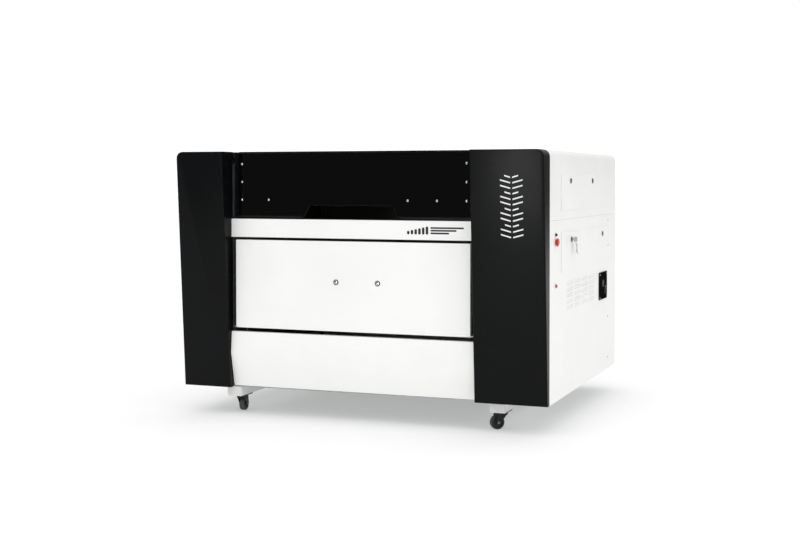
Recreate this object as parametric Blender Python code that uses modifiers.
"""Enclosed CO2 laser engraver on casters, modelled at rest: lid, door and covers shut, bed down."""

import math

import bmesh
import bpy
from mathutils import Matrix, Vector

# Driving dimensions, in metres. Y runs from the front (negative) to the back, and X = 0, Y = 0
# is the middle of the cabinet until the whole machine is shifted by the parent empty below.
WIDTH = 1.500
HALF_WIDTH = WIDTH / 2
FRONT = -0.634          # foremost edge: the top of the two pillars
BACK = 0.634
BODY_BOTTOM = 0.110
BODY_TOP = 1.046
SEAM = 0.785            # joint between the lower side panels and the upper casings
SHEET = 0.002           # sheet steel
GAP = 0.0004            # air left between touching pieces
EDGE_RADIUS = 0.026     # rounded outer top edges

SIDE_FRONT = -0.542     # where the black pillars meet the white sides
FOOT_FRONT = -0.569     # pillar front face at its foot, so the face leans forward going up
OPENING = (-0.546, 0.471)
OPENING_MIDDLE = sum(OPENING) / 2
OPENING_HALF = (OPENING[1] - OPENING[0]) / 2

BAR_FACE = -0.554
BAR_Z = (0.709, 0.781)
DOOR_Z = (0.350, 0.698)
DOOR_HALF = 0.488
DOOR_DEPTH = 0.018
LOWER_PANEL_Z = (0.115, 0.249, 0.3335)      # bottom, crest, top
LOWER_PANEL_Y = (-0.534, -0.564, -0.557)

LID_HALF = OPENING_HALF - 0.008
LID_FACE = -0.539
LID_BOTTOM = 0.791
LID_REAR = 0.328
LID_TUBE = 0.030        # square tube of the lid frame
LID_STRIP = 0.045       # width of the frame seen behind the panes
PANE = 0.004
PANE_HALF = LID_HALF - 0.017
BAND_TOP = 0.876        # top of the frame band that the front pane is screwed to
HOLD_TOP = 0.836
HOLD_HALF_BOTTOM = 0.197
HOLD_HALF_TOP = 0.172
HINGE_Y = 0.333
HINGE_Z = BODY_TOP + 0.004
HINGE_XS = (-0.360, 0.0, 0.360)     # middles of the three knuckles, from the middle of the lid
KNUCKLE_RADIUS, KNUCKLE_LENGTH = 0.004, 0.070

WALL_X = (-0.552, 0.477)    # inner faces of the chamber walls
WALL_TOP = 0.998
CHAMBER_BACK = 0.345

ESTOP_Y, ESTOP_Z = -0.456, 0.704
ESTOP_REACH = 0.014
KEY_Z = 0.732
START_Z = 0.542
ESTOP_HOLE, START_HOLE = 0.011, 0.008   # radius of the holes behind the two buttons
UPPER_COVER_Y, UPPER_COVER_Z = (-0.374, 0.276), (0.818, 0.960)
LOWER_COVER_Y, LOWER_COVER_Z = (-0.372, 0.461), (0.585, 0.737)
UPPER_LOCKS_Y, UPPER_LOCKS_Z = (-0.226, 0.157), 0.931
LOWER_LOCKS_Y, LOWER_LOCKS_Z = (-0.211, 0.354), 0.705
COVER_LAP = 0.012
COVER_THICK = 0.0015
ACCESS_TOP = 0.050      # the cover's locks sit in this strip above its opening
FRONT_LOCK_XS, FRONT_LOCK_Z = (-0.093, 0.080), 0.540
INLET_Y, INLET_Z = (0.290, 0.442), (0.424, 0.540)
INLET_THICK = 0.004
INLET_LAP = 0.012
SWITCH_Y, SWITCH_Z = 0.358, 0.492
SWITCH_HALF = (0.0125, 0.0095)      # half width and half height of the rocker
SOCKET_Y = (SWITCH_Y + 0.030, SWITCH_Y + 0.058)
SOCKET_Z = (SWITCH_Z - 0.047, SWITCH_Z - 0.025)
PANEL_X, PANEL_Y, PANEL_RISE = (0.515, 0.705), (-0.515, -0.275), 0.0025
SIDE_REAR = 0.4625      # the rear panel wraps round the sides behind this

RAIL_X = (-0.506, 0.431)    # centres of the Y guide rails
RAIL_Z = 0.900
RAIL_HALF = 0.010       # half width of the guide rail on its shelf
RAIL_START = -0.500
SHELF_TOP, SHELF_BOTTOM = RAIL_Z - 0.014, RAIL_Z - 0.020
SHELF_LIP_BOTTOM = RAIL_Z - 0.046
SHELF_WALL = 0.004
BEAM_Y = 0.250
BEAM_Z = 0.935
HEAD_X = -0.420
SHAFT_Y, SHAFT_RADIUS = 0.322, 0.005
PULLEY_RADIUS, PULLEY_WIDTH = 0.012, 0.016
TUBE_Y, TUBE_Z, TUBE_RADIUS, TUBE_HALF = 0.490, 0.915, 0.040, 0.560

BED_Z = (0.580, 0.605)
BED_HALF = 0.468
BED_Y = (-0.490, 0.310)
SCREW_XS = (-0.526, 0.451)
SCREW_YS = (-0.460, 0.270)
SCREW_Z = (0.116, 0.850)
TRAY_Z = (0.350, 0.400)
TRAY_INSET = 0.012
WALL_FRONT = -0.528
REAR_WALL_BOTTOM = 0.300

WHEEL_RADIUS = 0.027
WHEEL_WIDTH = 0.024
CASTER_X = 0.5475
CASTER_YS = (-0.464, 0.540)
CASTER_TRAIL = 0.020
CASTER_HEIGHT = 0.070
# Degrees that each fork has swivelled about its pivot; 0 trails straight back.
CASTER_TURNS = {"front_left": 6.0, "front_right": 128.0, "rear_left": -20.0, "rear_right": 35.0}

EXHAUST_Z, EXHAUST_RADIUS, EXHAUST_REACH = 0.450, 0.075, 0.045
EXHAUST_FLANGE = 0.018  # how far the collar's flange spreads round it

# The mushroom button and the exhaust collar stand proud, so this centres the whole box on the origin.
MACHINE_SHIFT = (-ESTOP_REACH / 2, -EXHAUST_REACH / 2, 0.0)

LID_STRUT_BASE = (0.280, 0.970)     # y, z of the strut's pivot on the chamber wall
LID_STRUT_ARM = (-0.060, 0.992)     # y, z of the ball stud under the lid
STRUT_INSET = 0.021                 # strut centre line to the wall
STRUT_TUBE_LENGTH = 0.220


def clear_scene():
    for old in list(bpy.data.objects):
        bpy.data.objects.remove(old, do_unlink=True)


def new_collection(name):
    made = bpy.data.collections.new(name)
    bpy.context.scene.collection.children.link(made)
    return made


clear_scene()
PARTS = new_collection("laser_engraver")
CUTTERS = new_collection("cutters")
CUTTERS.hide_render = True
MACHINE = bpy.data.objects.new("machine", None)
MACHINE.location = MACHINE_SHIFT
PARTS.objects.link(MACHINE)


def finish(name, colour, roughness, metallic=0.0, alpha=1.0):
    made = bpy.data.materials.new(name)
    made.use_nodes = True
    shader = made.node_tree.nodes["Principled BSDF"]
    shader.inputs["Base Color"].default_value = (*colour, 1.0)
    shader.inputs["Roughness"].default_value = roughness
    shader.inputs["Metallic"].default_value = metallic
    shader.inputs["Alpha"].default_value = alpha
    made.diffuse_color = (*colour, alpha)
    return made


WHITE = finish("white_powder_coat", (0.86, 0.86, 0.85), 0.45)
BLACK = finish("black_powder_coat", (0.012, 0.012, 0.014), 0.38)
SMOKED = finish("smoked_acrylic", (0.010, 0.009, 0.008), 0.06, alpha=0.7)
STEEL = finish("zinc_plated_steel", (0.55, 0.56, 0.58), 0.35, 1.0)
ALUMINIUM = finish("anodised_aluminium", (0.60, 0.61, 0.62), 0.38, 1.0)
CHROME = finish("chrome", (0.75, 0.75, 0.76), 0.12, 1.0)
GLASS = finish("tube_glass", (0.80, 0.86, 0.88), 0.05, alpha=0.4)
RED = finish("red_plastic", (0.55, 0.02, 0.03), 0.35)
YELLOW = finish("yellow_plastic", (0.80, 0.55, 0.03), 0.40)
PLASTIC = finish("black_plastic", (0.015, 0.015, 0.016), 0.50)
RUBBER = finish("grey_rubber", (0.10, 0.10, 0.10), 0.70)


def mesh_of(shape):
    mesh = bpy.data.meshes.new("shape")
    shape.to_mesh(mesh)
    shape.free()
    return mesh


def box(low, high):
    shape = bmesh.new()
    bmesh.ops.create_cube(shape, size=1.0)
    low, high = Vector(low), Vector(high)
    scale = Matrix.Diagonal((*(high - low), 1.0))
    bmesh.ops.transform(shape, matrix=Matrix.Translation((low + high) / 2) @ scale, verts=shape.verts)
    return mesh_of(shape)


TURN_TO_AXIS = {
    "X": Matrix.Rotation(math.radians(90), 4, "Y"),
    "Y": Matrix.Rotation(math.radians(-90), 4, "X"),
    "Z": Matrix.Identity(4),
}


def cylinder(middle, radius, length, axis, sides=24, end_radius=None):
    shape = bmesh.new()
    end = radius if end_radius is None else end_radius
    bmesh.ops.create_cone(
        shape, cap_ends=True, segments=sides, radius1=radius, radius2=end, depth=length
    )
    place = Matrix.Translation(Vector(middle)) @ TURN_TO_AXIS[axis]
    bmesh.ops.transform(shape, matrix=place, verts=shape.verts)
    return mesh_of(shape)


def outline(points, axis, start, end):
    """Flat outline extruded from start to end. Points are (x, z) along Y, (y, z) along X, (x, y) along Z."""
    curve = bpy.data.curves.new("outline", "CURVE")
    curve.dimensions = "2D"
    curve.fill_mode = "BOTH"
    curve.extrude = abs(end - start) / 2
    spline = curve.splines.new("POLY")
    spline.points.add(len(points) - 1)
    for point, (u, v) in zip(spline.points, points):
        point.co = (u, v, 0.0, 1.0)
    spline.use_cyclic_u = True
    holder = bpy.data.objects.new("outline", curve)
    PARTS.objects.link(holder)
    graph = bpy.context.evaluated_depsgraph_get()
    mesh = bpy.data.meshes.new_from_object(holder.evaluated_get(graph))
    bpy.data.objects.remove(holder, do_unlink=True)
    middle = (start + end) / 2
    stand = {
        "X": Matrix(((0, 0, 1, middle), (1, 0, 0, 0), (0, 1, 0, 0), (0, 0, 0, 1))),
        "Y": Matrix(((1, 0, 0, 0), (0, 0, -1, middle), (0, 1, 0, 0), (0, 0, 0, 1))),
        "Z": Matrix.Translation((0, 0, middle)),
    }[axis]
    shape = bmesh.new()
    shape.from_mesh(mesh)
    bmesh.ops.remove_doubles(shape, verts=shape.verts, dist=0.00001)
    bmesh.ops.transform(shape, matrix=stand, verts=shape.verts)
    bmesh.ops.recalc_face_normals(shape, faces=shape.faces)
    return mesh_of(shape)


def arc(centre, radius, first, last, steps):
    """Points from angle first to angle last, in degrees, about a centre."""
    angles = [math.radians(first + (last - first) * i / steps) for i in range(steps + 1)]
    return [(centre[0] + radius * math.cos(a), centre[1] + radius * math.sin(a)) for a in angles]


def folded(path, thick=SHEET):
    """Closed outline of a sheet of this thickness folded along a path, laid on the path's left side."""
    path = [Vector(p) for p in path]
    sides = [(b - a).normalized().orthogonal() for a, b in zip(path, path[1:])]
    normals = [sides[0]]
    for before, after in zip(sides, sides[1:]):
        middle = (before + after).normalized()
        normals.append(middle / middle.dot(before))
    normals.append(sides[-1])
    inner = [p + n * thick for p, n in zip(path, normals)]
    return [tuple(p) for p in path] + [tuple(p) for p in reversed(inner)]


def part(name, mesh, material, origin=(0.0, 0.0, 0.0), smooth=False):
    """A named node. Its mesh is given in machine coordinates, and its origin is where it turns or slides."""
    mesh.name = name
    mesh.transform(Matrix.Translation(-Vector(origin)))
    mesh.materials.clear()
    mesh.materials.append(material)
    if smooth:
        mesh.shade_smooth()
        mesh.set_sharp_from_angle(angle=math.radians(35))
    made = bpy.data.objects.new(name, mesh)
    made.location = origin
    made.parent = MACHINE
    PARTS.objects.link(made)
    return made


def helper(name, mesh):
    made = bpy.data.objects.new(name, mesh)
    made.parent = MACHINE
    made.hide_render = True
    made.display_type = "WIRE"
    CUTTERS.objects.link(made)
    return made


def combine(target, mesh, operation, name):
    tool = helper(f"{target.name}_{name}", mesh)
    change = target.modifiers.new(name, "BOOLEAN")
    change.operation = operation
    change.solver = "EXACT"
    change.object = tool


def cut(target, mesh, name):
    combine(target, mesh, "DIFFERENCE", name)


def add(target, mesh, name):
    combine(target, mesh, "UNION", name)


# Cabinet ---------------------------------------------------------------------------------------

RAIL_BOTTOM = CASTER_HEIGHT + GAP
BASE_RAIL_Y = (SIDE_FRONT + 0.012, 0.600)
BASE_RAIL_HALF, BASE_RAIL_WALL = 0.030, 0.003


def base_rails():
    front, back = BASE_RAIL_Y
    inner = BASE_RAIL_HALF - BASE_RAIL_WALL
    for side, x in (("left", -CASTER_X), ("right", CASTER_X)):
        low = (x - BASE_RAIL_HALF, front, RAIL_BOTTOM)
        rail = part(f"base_rail_{side}", box(low, (x + BASE_RAIL_HALF, back, BODY_BOTTOM)), STEEL)
        bore_low = (x - inner, front - 0.010, RAIL_BOTTOM + BASE_RAIL_WALL)
        bore_high = (x + inner, back + 0.010, BODY_BOTTOM - BASE_RAIL_WALL)
        cut(rail, box(bore_low, bore_high), "bore")


def floor_pan():
    inset = HALF_WIDTH - 0.006
    low = (-inset, SIDE_FRONT + 0.014, BODY_BOTTOM + GAP)
    part("floor_pan", box(low, (inset, BACK - 0.006, BODY_BOTTOM + 0.0034)), STEEL)


def pillar_block(inner, outer, inset):
    """The pillar's solid between its inner and outer faces, with every face moved in by inset."""
    way = 1 if outer > inner else -1
    outer_x, inner_x = outer - way * inset, inner + way * inset
    top, bottom = BODY_TOP - inset, BODY_BOTTOM + inset
    radius = EDGE_RADIUS - inset
    centre = (outer_x - way * radius, top - radius)
    corner = arc(centre, radius, 0 if way > 0 else 180, 90, 4)
    points = [(inner_x, bottom), (outer_x, bottom), *corner, (inner_x, top)]
    rear = SIDE_FRONT - GAP + (0.010 if inset else 0.0)
    shape = bmesh.new()
    shape.from_mesh(outline(points, "Y", FRONT - 0.010, rear))
    lean = Vector((0, FRONT - FOOT_FRONT, BODY_TOP - BODY_BOTTOM))
    normal = lean.cross(Vector((1, 0, 0))).normalized()
    if normal.y > 0:
        normal.negate()
    on_face = Vector((0, FOOT_FRONT, BODY_BOTTOM)) - normal * inset
    everything = shape.verts[:] + shape.edges[:] + shape.faces[:]
    bmesh.ops.bisect_plane(shape, geom=everything, plane_co=on_face, plane_no=normal, clear_outer=True)
    rim = [edge for edge in shape.edges if edge.is_boundary]
    bmesh.ops.contextual_create(shape, geom=rim)
    bmesh.ops.recalc_face_normals(shape, faces=shape.faces)
    return mesh_of(shape)


def pillars():
    for name, inner, outer in (
        ("left_pillar", OPENING[0], -HALF_WIDTH),
        ("right_pillar", OPENING[1], HALF_WIDTH),
    ):
        pillar = part(name, pillar_block(inner, outer, 0.0), BLACK)
        cut(pillar, pillar_block(inner, outer, SHEET), "hollow")


def front_bar():
    left, right = OPENING[0] + GAP, OPENING[1] - GAP
    back = BAR_FACE + 0.040
    low, high = BAR_Z
    path = [(back, low), (BAR_FACE, low), (BAR_FACE, high), (back, high)]
    part("front_bar", outline(folded(path[::-1]), "X", left, right), WHITE)


def lower_front_panel():
    left, right = OPENING[0] + 0.002, OPENING[1] - 0.002
    (low, crest, high), (low_y, crest_y, high_y) = LOWER_PANEL_Z, LOWER_PANEL_Y
    path = [(high_y + 0.025, high), (high_y, high), (crest_y, crest), (low_y, low)]
    part("lower_front_panel", outline(folded(path), "X", left, right), WHITE)


def window_in_side(panel, ys, zs, name):
    """Cuts an opening through the right side between two y values and two z values."""
    low = (HALF_WIDTH - 0.010, ys[0], zs[0])
    cut(panel, box(low, (HALF_WIDTH + 0.010, ys[1], zs[1])), name)


def behind_cover(ys, zs):
    """The opening that a side cover laps over, in y and in z."""
    return (ys[0] + COVER_LAP, ys[1] - COVER_LAP), (zs[0] + COVER_LAP, zs[1] - ACCESS_TOP)


def side_panels():
    top, bottom = SEAM - GAP, BODY_BOTTOM
    for name, way in (("left_side_panel", -1), ("right_side_panel", 1)):
        xs = sorted((way * HALF_WIDTH, way * (HALF_WIDTH - SHEET)))
        mesh = box((xs[0], SIDE_FRONT, bottom), (xs[1], SIDE_REAR - GAP, top))
        panel = part(name, mesh, WHITE)
        if way > 0:
            window_in_side(panel, *behind_cover(LOWER_COVER_Y, LOWER_COVER_Z), "access")
            ys = (INLET_Y[0] + INLET_LAP, INLET_Y[1] - INLET_LAP)
            zs = (INLET_Z[0] + INLET_LAP, INLET_Z[1] - INLET_LAP)
            window_in_side(panel, ys, zs, "inlet")
            for hole, z, radius in (
                ("estop_hole", ESTOP_Z, ESTOP_HOLE),
                ("start_hole", START_Z, START_HOLE),
            ):
                cut(panel, cylinder((HALF_WIDTH, ESTOP_Y, z), radius, 0.020, "X", 20), hole)


def top_casings():
    """Side wall, rounded edge and top strip of each upper casing, folded from one sheet."""
    for name, inner, way in (("left_top_casing", OPENING[0], -1), ("right_top_casing", OPENING[1], 1)):
        outer = way * HALF_WIDTH
        centre = (outer - way * EDGE_RADIUS, BODY_TOP - EDGE_RADIUS)
        corner = arc(centre, EDGE_RADIUS, 0 if way > 0 else 180, 90, 5)
        path = [(outer, SEAM), *corner, (inner, BODY_TOP)]
        if way < 0:
            path.reverse()
        # A reversed path keeps the sheet on its inner side, because the left casing mirrors the right.
        casing = part(name, outline(folded(path), "Y", SIDE_FRONT, BACK), WHITE)
        if way > 0:
            window_in_side(casing, *behind_cover(UPPER_COVER_Y, UPPER_COVER_Z), "access")


def rear_panel():
    """The lower part wraps round both sides, and the upper part closes the casings from inside."""
    out = HALF_WIDTH
    wrap = [(out, SIDE_REAR), (out, BACK), (-out, BACK), (-out, SIDE_REAR)]
    panel = part("rear_panel", outline(folded(wrap), "Z", BODY_BOTTOM, SEAM - GAP), WHITE)
    inset = SHEET + GAP
    side, top, radius = out - inset, BODY_TOP - inset, EDGE_RADIUS - inset
    points = [(-side, SEAM - 0.020), (side, SEAM - 0.020)]
    points += arc((side - radius, top - radius), radius, 0, 90, 5)
    points += arc((radius - side, top - radius), radius, 90, 180, 5)
    add(panel, outline(points, "Y", BACK - 0.0045, BACK - 0.0015), "upper")
    hole = (0.0, BACK, EXHAUST_Z)
    cut(panel, cylinder(hole, EXHAUST_RADIUS - 0.003, 0.02, "Y", 32), "exhaust")


def exhaust_collar():
    middle = (0.0, BACK + GAP + EXHAUST_REACH / 2, EXHAUST_Z)
    pipe = cylinder(middle, EXHAUST_RADIUS, EXHAUST_REACH - GAP, "Y", 32)
    collar = part("exhaust_collar", pipe, STEEL, smooth=True)
    flange = (0.0, BACK + GAP + 0.001, EXHAUST_Z)
    add(collar, cylinder(flange, EXHAUST_RADIUS + EXHAUST_FLANGE, 0.002, "Y", 32), "flange")
    cut(collar, cylinder(middle, EXHAUST_RADIUS - 0.0015, 0.10, "Y", 32), "bore")


def chamber_walls():
    low = BODY_BOTTOM + 0.0040
    for name, x, way in (("inner_wall_left", WALL_X[0], -1), ("inner_wall_right", WALL_X[1], 1)):
        xs = sorted((x, x + way * SHEET))
        part(name, box((xs[0], WALL_FRONT, low), (xs[1], CHAMBER_BACK + SHEET, WALL_TOP)), WHITE)
    ends = (WALL_X[0] + GAP, WALL_X[1] - GAP)
    rear = box((ends[0], CHAMBER_BACK, REAR_WALL_BOTTOM), (ends[1], CHAMBER_BACK + SHEET, WALL_TOP))
    part("inner_wall_rear", rear, WHITE)


def scrap_tray():
    half = BED_HALF - TRAY_INSET
    low = (OPENING_MIDDLE - half, BED_Y[0], TRAY_Z[0])
    high = (OPENING_MIDDLE + half, BED_Y[1], TRAY_Z[1])
    tray = part("scrap_tray", box(low, high), STEEL)
    inner_low = [c + SHEET for c in low]
    cut(tray, box(inner_low, (high[0] - SHEET, high[1] - SHEET, high[2] + 0.01)), "hollow")


def control_panel():
    low = (PANEL_X[0], PANEL_Y[0], BODY_TOP + GAP)
    part("control_panel", box(low, (PANEL_X[1], PANEL_Y[1], BODY_TOP + PANEL_RISE)), PLASTIC)


def tube_cover():
    """Rear lid over the laser tube: a shallow tray turned upside down, hinged at the back."""
    half = OPENING_HALF - 0.003
    low = (OPENING_MIDDLE - half, HINGE_Y + 0.006, BODY_TOP - 0.020)
    high = (OPENING_MIDDLE + half, BACK - 0.008, BODY_TOP)
    hinge = (OPENING_MIDDLE, BACK - 0.004, BODY_TOP + 0.0015)
    cover = part("tube_cover", box(low, high), WHITE, hinge)
    inner_low = (low[0] + SHEET, low[1] + SHEET, low[2] - 0.01)
    inner_high = (high[0] - SHEET, high[1] - SHEET, high[2] - SHEET)
    cut(cover, box(inner_low, inner_high), "hollow")


# Lid ---------------------------------------------------------------------------------------------

def hand_hold():
    """The trapezoid hand-hold in the lid's bottom edge, as a cutter through the frame and the pane."""
    bottom = LID_BOTTOM - 0.010
    wide, narrow = HOLD_HALF_BOTTOM, HOLD_HALF_TOP
    slope = (wide - narrow) / (HOLD_TOP - LID_BOTTOM)
    foot = wide + slope * (LID_BOTTOM - bottom)
    mid = OPENING_MIDDLE
    points = [(mid - foot, bottom), (mid + foot, bottom), (mid + narrow, HOLD_TOP), (mid - narrow, HOLD_TOP)]
    return outline(points, "Y", LID_FACE - 0.060, LID_FACE + 0.060)


def lid_knuckle(frame, x, frame_top, name):
    """A hinge barrel on the lid's axis, standing on a thin leaf that rises from the lid's frame."""
    half = KNUCKLE_LENGTH / 2
    low = (x - half, LID_REAR - 0.002, frame_top - 0.002)
    add(frame, box(low, (x + half, HINGE_Y - 0.001, HINGE_Z - 0.002)), f"leaf_{name}")
    barrel = cylinder((x, HINGE_Y, HINGE_Z), KNUCKLE_RADIUS, KNUCKLE_LENGTH - 0.002, "X", 16)
    add(frame, barrel, f"barrel_{name}")


def lid():
    hinge = (OPENING_MIDDLE, HINGE_Y, HINGE_Z)
    left, right = OPENING_MIDDLE - LID_HALF, OPENING_MIDDLE + LID_HALF
    frame_front = LID_FACE + PANE + GAP
    frame_top = BODY_TOP - PANE - GAP
    front_back = frame_front + LID_TUBE
    frame = part(
        "lid_frame", box((left, frame_front, LID_BOTTOM), (right, front_back, frame_top)), BLACK, hinge
    )
    top = box((left, frame_front, frame_top - LID_TUBE), (right, LID_REAR, frame_top))
    add(frame, top, "top")
    window = (left + LID_STRIP, right - LID_STRIP)
    inside_top = frame_top - LID_TUBE
    window_low = (window[0], frame_front - 0.010, BAND_TOP)
    front_window = box(window_low, (window[1], front_back + 0.001, inside_top))
    cut(frame, front_window, "front_window")
    top_low = (window[0], front_back, inside_top - 0.010)
    cut(frame, box(top_low, (window[1], LID_REAR - LID_STRIP, BODY_TOP + 0.01)), "top_window")
    cut(frame, hand_hold(), "hand_hold")
    for name, offset in zip(("left", "middle", "right"), HINGE_XS):
        lid_knuckle(frame, OPENING_MIDDLE + offset, frame_top, name)

    pane_left, pane_right = OPENING_MIDDLE - PANE_HALF, OPENING_MIDDLE + PANE_HALF
    low = (pane_left, LID_FACE, LID_BOTTOM + 0.002)
    front = part(
        "lid_front_window", box(low, (pane_right, LID_FACE + PANE, BODY_TOP - 0.005)), SMOKED, hinge
    )
    cut(front, hand_hold(), "hand_hold")
    low = (pane_left, LID_FACE + 0.001, BODY_TOP - PANE)
    part("lid_top_window", box(low, (pane_right, LID_REAR - 0.012, BODY_TOP)), SMOKED, hinge)


def struts():
    """Gas springs in the space between the chamber walls and the lid. Each rod's far end stays free."""
    (by, bz), (ay, az) = LID_STRUT_BASE, LID_STRUT_ARM
    along = Vector((0.0, ay - by, az - bz))
    length = along.length
    turn = along.to_track_quat("Z", "X").to_matrix().to_4x4()
    for side, x in (("left", WALL_X[0] + STRUT_INSET), ("right", WALL_X[1] - STRUT_INSET)):
        base = Vector((x, by, bz))
        place = Matrix.Translation(base) @ turn

        def along_strut(radius, start, end, sides=16):
            mesh = cylinder((0, 0, (start + end) / 2), radius, end - start, "Z", sides)
            mesh.transform(place)
            return mesh

        tube = along_strut(0.0070, 0.0, STRUT_TUBE_LENGTH)
        tube = part(f"strut_tube_{side}", tube, BLACK, base, smooth=True)
        cut(tube, along_strut(0.0042, 0.020, STRUT_TUBE_LENGTH + 0.010), "bore")
        rod = along_strut(0.0038, STRUT_TUBE_LENGTH - 0.150, length - 0.008, 12)
        rod = part(f"strut_rod_{side}", rod, CHROME, base, smooth=True)
        add(rod, along_strut(0.0060, length - 0.020, length + 0.006, 12), "end_fitting")


# Front door and side covers ------------------------------------------------------------------------

LOCK_RADIUS, LOCK_THICK = 0.0105, 0.0024


def lock(name, centre, axis):
    """A cam lock: a round head on the face, with a slot for its key, turning about its own axis."""
    x, y, z = centre
    if axis == "Y":
        head = cylinder((x, y - LOCK_THICK / 2, z), LOCK_RADIUS, LOCK_THICK, "Y", 20)
        slot = box((x - 0.001, y - 0.010, z - 0.005), (x + 0.001, y - 0.0015, z + 0.005))
    else:
        head = cylinder((x + LOCK_THICK / 2, y, z), LOCK_RADIUS, LOCK_THICK, "X", 20)
        slot = box((x + 0.0015, y - 0.001, z - 0.005), (x + 0.010, y + 0.001, z + 0.005))
    body = part(name, head, CHROME, centre, smooth=True)
    cut(body, slot, "key_slot")


def front_door():
    """A folded pan, open at the back, that drops forward about its lower front edge."""
    left, right = OPENING_MIDDLE - DOOR_HALF, OPENING_MIDDLE + DOOR_HALF
    low, high = DOOR_Z
    pivot = (OPENING_MIDDLE, BAR_FACE - 0.001, low - 0.001)
    slab = box((left, BAR_FACE, low), (right, BAR_FACE + DOOR_DEPTH, high))
    door = part("front_door", slab, WHITE, pivot)
    inner = (left + SHEET, BAR_FACE + SHEET, low + SHEET)
    cut(door, box(inner, (right - SHEET, BAR_FACE + 0.050, high - SHEET)), "hollow")
    face = BAR_FACE - GAP
    for side, x in zip(("left", "right"), FRONT_LOCK_XS):
        lock(f"front_lock_{side}", (x, face, FRONT_LOCK_Z), "Y")


def side_cover(name, ys, zs, locks_y, locks_z, lock_names):
    """A flat cover lapped over its opening, hooked along its bottom edge and locked near its top."""
    face = HALF_WIDTH + GAP
    pivot = (face + COVER_THICK, sum(ys) / 2, zs[0])
    cover = part(name, box((face, ys[0], zs[0]), (face + COVER_THICK, ys[1], zs[1])), WHITE, pivot)
    stiffener_low = (face - 0.014, ys[0] + 0.030, zs[0] + 0.014)
    add(cover, box(stiffener_low, (face + 0.0005, ys[1] - 0.030, zs[0] + 0.016)), "stiffener")
    for lock_name, y in zip(lock_names, locks_y):
        lock(lock_name, (face + COVER_THICK + GAP, y, locks_z), "X")


def side_covers():
    side_cover(
        "upper_cover", UPPER_COVER_Y, UPPER_COVER_Z, UPPER_LOCKS_Y, UPPER_LOCKS_Z,
        ("upper_lock_front", "upper_lock_rear"),
    )
    side_cover(
        "lower_cover", LOWER_COVER_Y, LOWER_COVER_Z, LOWER_LOCKS_Y, LOWER_LOCKS_Z,
        ("lower_lock_front", "lower_lock_rear"),
    )


# Controls on the right side --------------------------------------------------------------------------

def turned(profile, middle, sides=28):
    """A profile of (radius, reach) points turned about the X axis; reach runs out from the side panel."""
    curve = bpy.data.meshes.new("profile")
    curve.from_pydata([(r, 0.0, h) for r, h in profile], [(i, i + 1) for i in range(len(profile) - 1)], [])
    holder = bpy.data.objects.new("profile", curve)
    PARTS.objects.link(holder)
    screw = holder.modifiers.new("turn", "SCREW")
    screw.axis = "Z"
    screw.steps = screw.render_steps = sides
    screw.use_merge_vertices = True
    screw.merge_threshold = 0.00005
    graph = bpy.context.evaluated_depsgraph_get()
    mesh = bpy.data.meshes.new_from_object(holder.evaluated_get(graph))
    bpy.data.objects.remove(holder, do_unlink=True)
    shape = bmesh.new()
    shape.from_mesh(mesh)
    bmesh.ops.remove_doubles(shape, verts=shape.verts, dist=0.00005)
    bmesh.ops.recalc_face_normals(shape, faces=shape.faces)
    place = Matrix.Translation(Vector(middle)) @ TURN_TO_AXIS["X"]
    bmesh.ops.transform(shape, matrix=place, verts=shape.verts)
    return mesh_of(shape)


def controls():
    face = HALF_WIDTH + GAP
    at = (face, ESTOP_Y, ESTOP_Z)
    ring = cylinder((face + 0.0011, ESTOP_Y, ESTOP_Z), 0.0125, 0.0022, "X")
    collar = part("estop_collar", ring, YELLOW, at, smooth=True)
    cut(collar, cylinder((face + 0.002, ESTOP_Y, ESTOP_Z), 0.0095, 0.020, "X"), "bore")
    reach = ESTOP_REACH - GAP
    mushroom = [
        (0.0, reach), (0.0070, reach - 0.0006), (0.0120, reach - 0.0022), (0.0152, reach - 0.0050),
        (0.0155, reach - 0.0070), (0.0150, reach - 0.0080), (0.0090, reach - 0.0080), (0.0090, 0.001),
        (0.0, 0.001),
    ]
    part("estop_button", turned(mushroom, at), RED, at, smooth=True)

    at = (face, ESTOP_Y, START_Z)
    button = [
        (0.0, 0.0065), (0.0054, 0.0062), (0.0063, 0.0053), (0.0063, 0.0003), (0.0, 0.0003),
    ]
    part("start_button", turned(button, at, 24), RED, at, smooth=True)

    at = (face, ESTOP_Y, KEY_Z)
    barrel = cylinder((face + 0.002, ESTOP_Y, KEY_Z), 0.0048, 0.004, "X", 20)
    key = part("key_switch", barrel, PLASTIC, at, smooth=True)
    low = (face + 0.003, ESTOP_Y - 0.0010, KEY_Z - 0.0040)
    add(key, box(low, (face + 0.007, ESTOP_Y + 0.0010, KEY_Z + 0.0040)), "grip")


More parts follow.
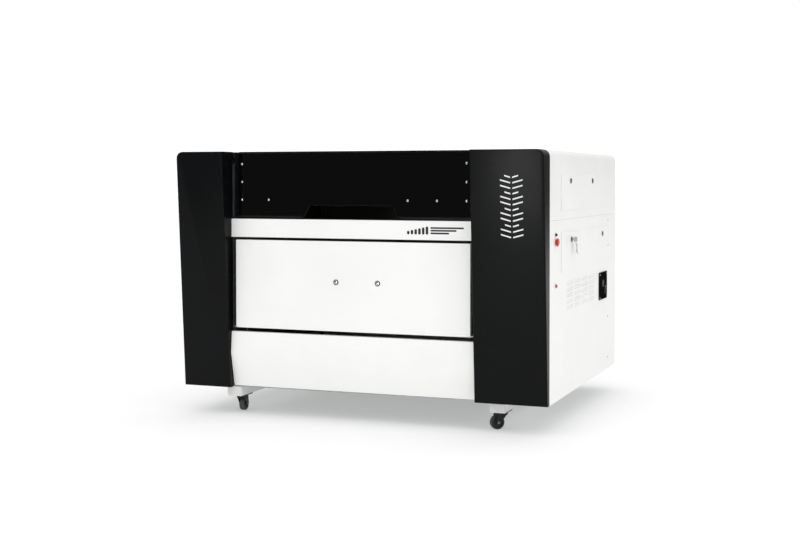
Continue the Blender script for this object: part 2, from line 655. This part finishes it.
def mains_inlet():
    """The black plate with its rocker switch and the hole that the mains socket sits in."""
    face = HALF_WIDTH + GAP
    front = face + INLET_THICK
    plate = part("inlet_plate", box((face, INLET_Y[0], INLET_Z[0]), (front, INLET_Y[1], INLET_Z[1])), PLASTIC)
    half_wide, half_tall = SWITCH_HALF
    clear_wide, clear_tall = half_wide + 0.001, half_tall + 0.002
    hole = (face - 0.010, SWITCH_Y - clear_wide, SWITCH_Z - clear_tall)
    cut(plate, box(hole, (front + 0.010, SWITCH_Y + clear_wide, SWITCH_Z + clear_tall)), "switch_hole")
    hole = (face - 0.010, SOCKET_Y[0], SOCKET_Z[0])
    cut(plate, box(hole, (front + 0.010, SOCKET_Y[1], SOCKET_Z[1])), "socket_hole")
    pivot = (face - 0.002, SWITCH_Y, SWITCH_Z)
    back, low, high = face - 0.004, SWITCH_Z - half_tall, SWITCH_Z + half_tall
    rocked = [(face + 0.0050, low), (face + 0.0045, SWITCH_Z), (face + 0.0075, high)]
    rocker = [(back, low), *rocked, (back, high)]
    mesh = outline(rocker, "Y", SWITCH_Y - half_wide, SWITCH_Y + half_wide)
    part("main_switch", mesh, PLASTIC, pivot)


# Motion system -----------------------------------------------------------------------------------------

def y_rails():
    """Angle shelves bolted to the chamber walls, each carrying a guide rail."""
    for name, x, wall, way in (
        ("y_rail_left", RAIL_X[0], WALL_X[0] + GAP, 1),
        ("y_rail_right", RAIL_X[1], WALL_X[1] - GAP, -1),
    ):
        lip, near, far = wall + way * SHELF_WALL, x - way * RAIL_HALF, x + way * RAIL_HALF
        path = [
            (wall, SHELF_LIP_BOTTOM), (lip, SHELF_LIP_BOTTOM), (lip, SHELF_BOTTOM), (far, SHELF_BOTTOM),
            (far, RAIL_Z), (near, RAIL_Z), (near, SHELF_TOP), (wall, SHELF_TOP),
        ]
        part(name, outline(path, "Y", RAIL_START, CHAMBER_BACK - 0.005), ALUMINIUM)


def gantry():
    left, right = RAIL_X[0] + 0.012, RAIL_X[1] - 0.012
    low = (left, BEAM_Y - 0.020, BEAM_Z - 0.025)
    beam = part("gantry_beam", box(low, (right, BEAM_Y + 0.020, BEAM_Z + 0.025)), ALUMINIUM)
    for side, x in (("left", RAIL_X[0]), ("right", RAIL_X[1])):
        inward = 0.018 if side == "left" else -0.018
        xs = sorted((x - inward * 0.6, x + inward))
        block = box((xs[0], BEAM_Y - 0.040, RAIL_Z + GAP), (xs[1], BEAM_Y + 0.040, BEAM_Z + 0.012))
        add(beam, block, f"carriage_{side}")


def laser_head():
    front = BEAM_Y - 0.020 - GAP
    low = (HEAD_X - 0.035, front - 0.040, BEAM_Z - 0.045)
    head = part("laser_head", box(low, (HEAD_X + 0.035, front, BEAM_Z + 0.040)), ALUMINIUM)
    nozzle_y = front - 0.022
    lens = cylinder((HEAD_X, nozzle_y, BEAM_Z - 0.058), 0.0125, 0.050, "Z", 20)
    add(head, lens, "lens_tube")
    tip = cylinder((HEAD_X, nozzle_y, BEAM_Z - 0.090), 0.003, 0.020, "Z", 20, end_radius=0.011)
    add(head, tip, "nozzle")


def drive_shaft():
    """Shaft across the rear of the chamber, with a belt pulley at each end."""
    left, right = RAIL_X
    middle = ((left + right) / 2, SHAFT_Y, BEAM_Z)
    bar = cylinder(middle, SHAFT_RADIUS, right - left + 0.020, "X", 12)
    shaft = part("y_drive_shaft", bar, STEEL, middle, smooth=True)
    for side, x in (("left", left), ("right", right)):
        add(shaft, cylinder((x, SHAFT_Y, BEAM_Z), PULLEY_RADIUS, PULLEY_WIDTH, "X", 20), f"pulley_{side}")


def laser_tube():
    middle = (OPENING_MIDDLE, TUBE_Y, TUBE_Z)
    jacket = cylinder(middle, TUBE_RADIUS, 2 * TUBE_HALF - 0.12, "X", 28)
    tube = part("laser_tube", jacket, GLASS, smooth=True)
    add(tube, cylinder(middle, 0.016, 2 * TUBE_HALF, "X", 20), "electrode_ends")


def bed():
    low = (OPENING_MIDDLE - BED_HALF, BED_Y[0], BED_Z[0])
    part("bed_table", box(low, (OPENING_MIDDLE + BED_HALF, BED_Y[1], BED_Z[1])), ALUMINIUM)
    ends = (("front", SCREW_YS[0]), ("rear", SCREW_YS[1]))
    for end, y in ends:
        for side, x in (("left", SCREW_XS[0]), ("right", SCREW_XS[1])):
            middle = (x, y, sum(SCREW_Z) / 2)
            screw = cylinder(middle, 0.0080, SCREW_Z[1] - SCREW_Z[0], "Z", 16)
            part(f"lead_screw_{end}_{side}", screw, STEEL, middle, smooth=True)


# Casters -------------------------------------------------------------------------------------------------

def tread_profile():
    """Half section of the wheel: flat hub faces, and a tread with rounded shoulders."""
    half, out = WHEEL_WIDTH / 2, WHEEL_RADIUS
    return [
        (0.0, half), (out - 0.004, half), (out - 0.001, half - 0.003), (out, half - 0.007),
        (out, 0.007 - half), (out - 0.001, 0.003 - half), (out - 0.004, -half), (0.0, -half),
    ]


def caster(corner, x, y):
    """A swivel caster: the fork turns about its vertical pivot, and the wheel about its axle."""
    top = CASTER_HEIGHT - GAP
    pivot = (x, y, top)
    turn = Matrix.Translation((x, y, 0)) @ Matrix.Rotation(math.radians(CASTER_TURNS[corner]), 4, "Z")
    side_gap = WHEEL_WIDTH / 2 + 0.0015
    arm = 0.0025
    crown = cylinder((0, 0, top - 0.0065), 0.022, 0.013, "Z", 24)
    crown.transform(turn)
    fork = part(f"caster_fork_{corner}", crown, STEEL, pivot)
    bridge = box((-side_gap - arm, -0.016, top - 0.014), (side_gap + arm, CASTER_TRAIL + 0.008, top - 0.0105))
    bridge.transform(turn)
    add(fork, bridge, "bridge")
    for name, way in (("arm_left", -1), ("arm_right", 1)):
        inner, outer = way * side_gap, way * (side_gap + arm)
        shape = [
            (-0.016, top - 0.0105), (CASTER_TRAIL + 0.008, top - 0.0105),
            *arc((CASTER_TRAIL, WHEEL_RADIUS), 0.010, 0, -180, 6),
        ]
        mesh = outline(shape, "X", min(inner, outer), max(inner, outer))
        mesh.transform(turn)
        add(fork, mesh, name)
    axle = cylinder((0, CASTER_TRAIL, WHEEL_RADIUS), 0.0030, 2 * (side_gap + arm) + 0.008, "X", 12)
    axle.transform(turn)
    add(fork, axle, "axle")

    centre = turn @ Vector((0, CASTER_TRAIL, WHEEL_RADIUS))
    wheel_mesh = turned(tread_profile(), (0, CASTER_TRAIL, WHEEL_RADIUS), 32)
    wheel_mesh.transform(turn)
    wheel = part(f"caster_wheel_{corner}", wheel_mesh, RUBBER, centre, smooth=True)
    bore = cylinder((0, CASTER_TRAIL, WHEEL_RADIUS), 0.0033, 0.060, "X", 12)
    bore.transform(turn)
    cut(wheel, bore, "bore")


def casters():
    for end, y in zip(("front", "rear"), CASTER_YS):
        for side, x in (("left", -CASTER_X), ("right", CASTER_X)):
            caster(f"{end}_{side}", x, y)


base_rails()
floor_pan()
pillars()
front_bar()
lower_front_panel()
side_panels()
top_casings()
rear_panel()
exhaust_collar()
chamber_walls()
scrap_tray()
control_panel()
tube_cover()
lid()
struts()
front_door()
side_covers()
controls()
mains_inlet()
y_rails()
gantry()
laser_head()
drive_shaft()
laser_tube()
bed()
casters()
